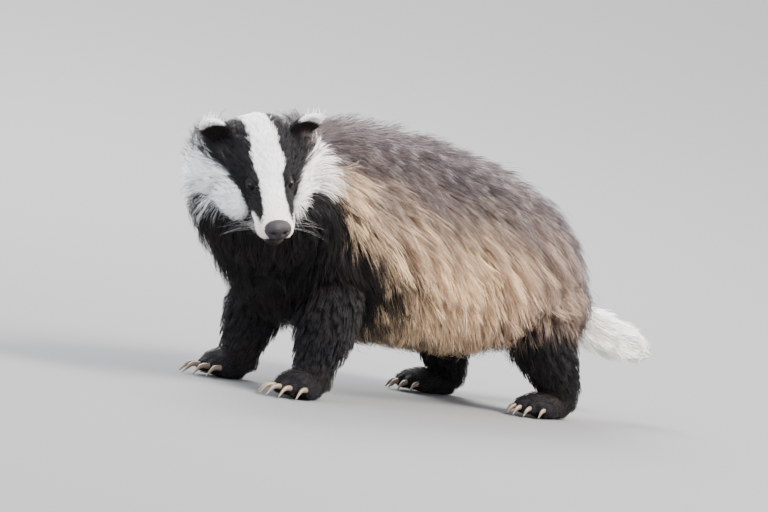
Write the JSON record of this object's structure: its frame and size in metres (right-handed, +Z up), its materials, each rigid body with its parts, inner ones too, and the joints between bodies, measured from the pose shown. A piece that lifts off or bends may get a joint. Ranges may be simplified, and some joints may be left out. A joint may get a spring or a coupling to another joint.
{
  "type": "european badger",
  "caption": "Life-size still model of an adult European badger, standing with its haunches low and its face turned to its left.",
  "frame": {"origin": "middle of the model's box, at floor level under the feet", "axes": "+X from the nose end to the tail, +Y to the animal's right flank, +Z up"},
  "size_m": [0.8106, 0.2828, 0.3257],
  "materials": {
    "body_coat": "grizzled, long and bristly",
    "neck_coat": "black, long and bristly",
    "face_coat": "white with two black stripes, short on the face, long behind the cheeks",
    "tail_coat": "cream, bushy",
    "leg_coat": "black, short",
    "ear_coat": "black with a white rim of hair",
    "nose_skin": "dark grey skin, fine grained, softly glossy",
    "eye": "very dark brown, wet gloss",
    "claw_horn": "horn, satin"
  },
  "bodies": {
    "root": {"torso": "body_coat", "neck": "neck_coat", "head": "face_coat", "tail": "tail_coat", "nose": "nose_skin", "eye_left": "eye", "ear_left": "ear_coat", "eye_right": "eye", "ear_right": "ear_coat", "foreleg_left": "leg_coat", "claw_foreleg_left_1": "claw_horn", "claw_foreleg_left_2": "claw_horn", "claw_foreleg_left_3": "claw_horn", "claw_foreleg_left_4": "claw_horn", "claw_foreleg_left_5": "claw_horn", "foreleg_right": "leg_coat", "claw_foreleg_right_1": "claw_horn", "claw_foreleg_right_2": "claw_horn", "claw_foreleg_right_3": "claw_horn", "claw_foreleg_right_4": "claw_horn", "claw_foreleg_right_5": "claw_horn", "hindleg_left": "leg_coat", "claw_hindleg_left_1": "claw_horn", "claw_hindleg_left_2": "claw_horn", "claw_hindleg_left_3": "claw_horn", "claw_hindleg_left_4": "claw_horn", "claw_hindleg_left_5": "claw_horn", "hindleg_right": "leg_coat", "claw_hindleg_right_1": "claw_horn", "claw_hindleg_right_2": "claw_horn", "claw_hindleg_right_3": "claw_horn", "claw_hindleg_right_4": "claw_horn", "claw_hindleg_right_5": "claw_horn"}
  },
  "joints": []
}
